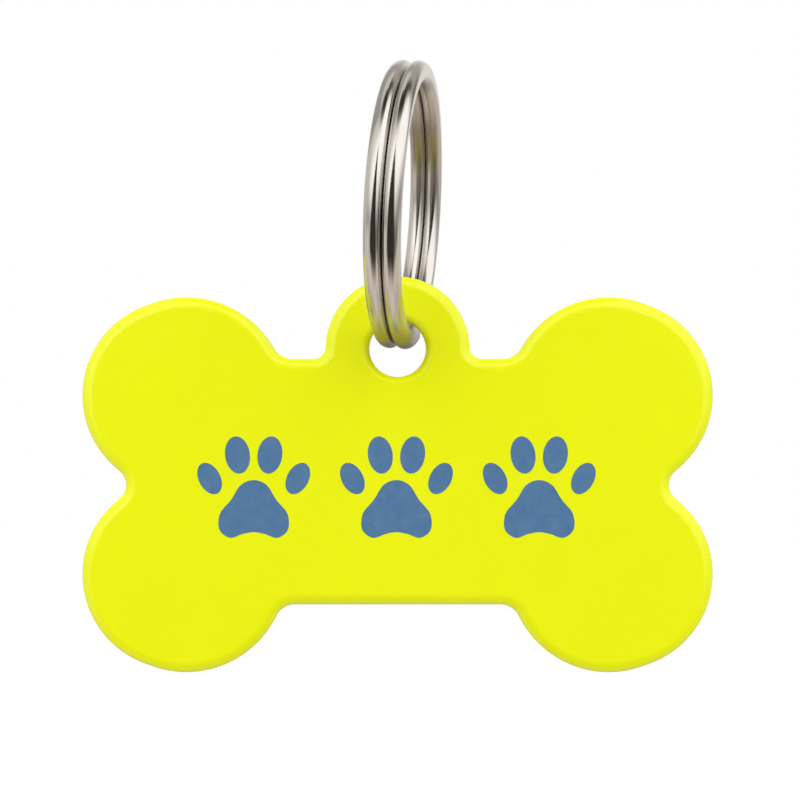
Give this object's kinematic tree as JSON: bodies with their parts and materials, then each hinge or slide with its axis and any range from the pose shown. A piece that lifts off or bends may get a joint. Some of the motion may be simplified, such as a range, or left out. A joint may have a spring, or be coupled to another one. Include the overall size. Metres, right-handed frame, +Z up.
{
  "type": "pet id tag",
  "caption": "Bone-shaped coated metal tag plate that hangs from a double-turn split ring.",
  "frame": {"origin": "the top inside of the split ring, where it rests on the D-ring or wire that holds it", "axes": "+Z up, +X to the right across the tag's width, -Y out of the tag's front face"},
  "size_m": [0.04, 0.0176, 0.0382],
  "materials": {
    "tag_coating": "smooth glossy powder coat on aluminium",
    "ring_nickel": "bright nickel plate on spring steel"
  },
  "bodies": {
    "ring": {"split_ring": "ring_nickel"},
    "tag": {"tag_plate": "tag_coating"}
  },
  "joints": [
    {"name": "tag_slide", "type": "hinge", "parent": "ring", "child": "tag", "pos_m": [-0.00058, 0, -0.00753], "axis": [0.985, -0.1547, -0.0758], "continuous": true}
  ]
}
